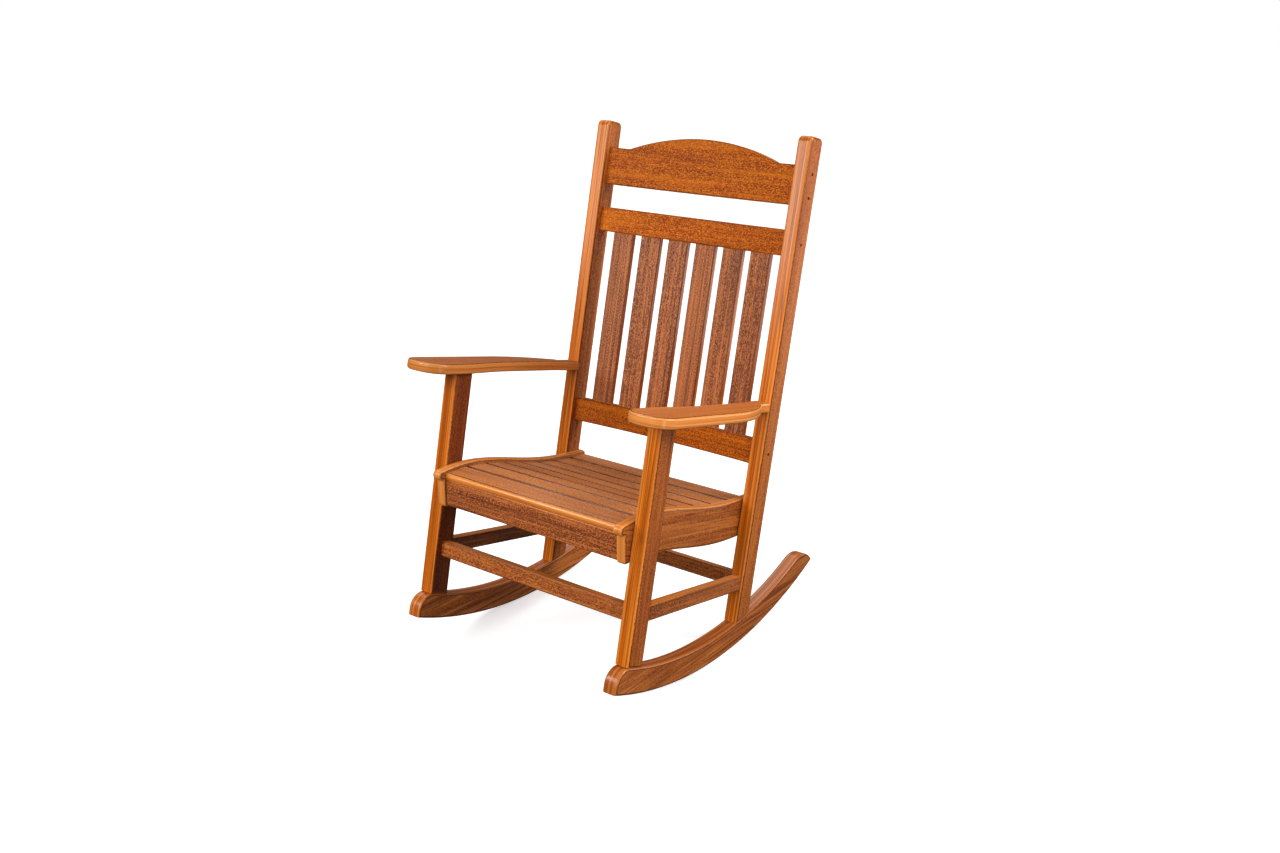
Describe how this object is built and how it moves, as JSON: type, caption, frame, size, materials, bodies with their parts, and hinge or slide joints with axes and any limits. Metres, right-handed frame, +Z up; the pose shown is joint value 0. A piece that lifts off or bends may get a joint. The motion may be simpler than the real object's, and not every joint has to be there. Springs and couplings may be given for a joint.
{
  "type": "rocking chair",
  "caption": "High-backed porch rocking chair in solid plastic lumber: curved runners, scooped slatted seat, bowed slatted back with an arched crest rail, and broad flat arms.",
  "frame": {"origin": "centre of the bounding box's bottom: on the floor, midway between the nose and the tail of the rockers and midway between the two sides", "axes": "+Z up, -Y the way the sitter faces, +X the sitter's left; stored at rest, leaned back to the angle at which the chair balances on its rockers"},
  "size_m": [0.764, 0.926, 1.2603],
  "materials": {
    "lumber_frame": "satin",
    "lumber_rails": "satin",
    "lumber_slats": "satin",
    "steel": "satin"
  },
  "bodies": {
    "root": {"rocker_right": "lumber_frame", "rocker_left": "lumber_frame", "front_leg_right": "lumber_frame", "front_leg_left": "lumber_frame", "rear_post_right": "lumber_frame", "rear_post_left": "lumber_frame", "arm_right": "lumber_rails", "arm_left": "lumber_rails", "seat_rail_right": "lumber_frame", "seat_rail_left": "lumber_frame", "seat_cleat_right": "lumber_frame", "seat_cleat_left": "lumber_frame", "seat_center_support": "lumber_frame", "seat_rear_board": "lumber_frame", "apron_front": "lumber_frame", "seat_slat_1": "lumber_slats", "seat_slat_2": "lumber_slats", "seat_slat_3": "lumber_slats", "seat_slat_4": "lumber_slats", "seat_slat_5": "lumber_slats", "seat_slat_6": "lumber_slats", "seat_slat_7": "lumber_slats", "seat_slat_8": "lumber_slats", "crest_rail": "lumber_rails", "back_rail_upper": "lumber_rails", "back_rail_lower": "lumber_rails", "back_slat_1": "lumber_slats", "back_slat_2": "lumber_slats", "back_slat_3": "lumber_slats", "back_slat_4": "lumber_slats", "back_slat_5": "lumber_slats", "back_slat_6": "lumber_slats", "stretcher_front": "lumber_frame", "stretcher_rear": "lumber_frame", "stretcher_right": "lumber_frame", "stretcher_left": "lumber_frame", "screws_back": "steel", "screws_rocker": "steel", "screws_arm": "steel", "dowels_arm": "steel", "dowels_stretcher": "steel", "screws_seat_rail": "steel", "screws_cleat": "steel", "screws_slat": "steel", "dowels_seat_board": "steel", "dowels_support": "steel"}
  },
  "joints": []
}
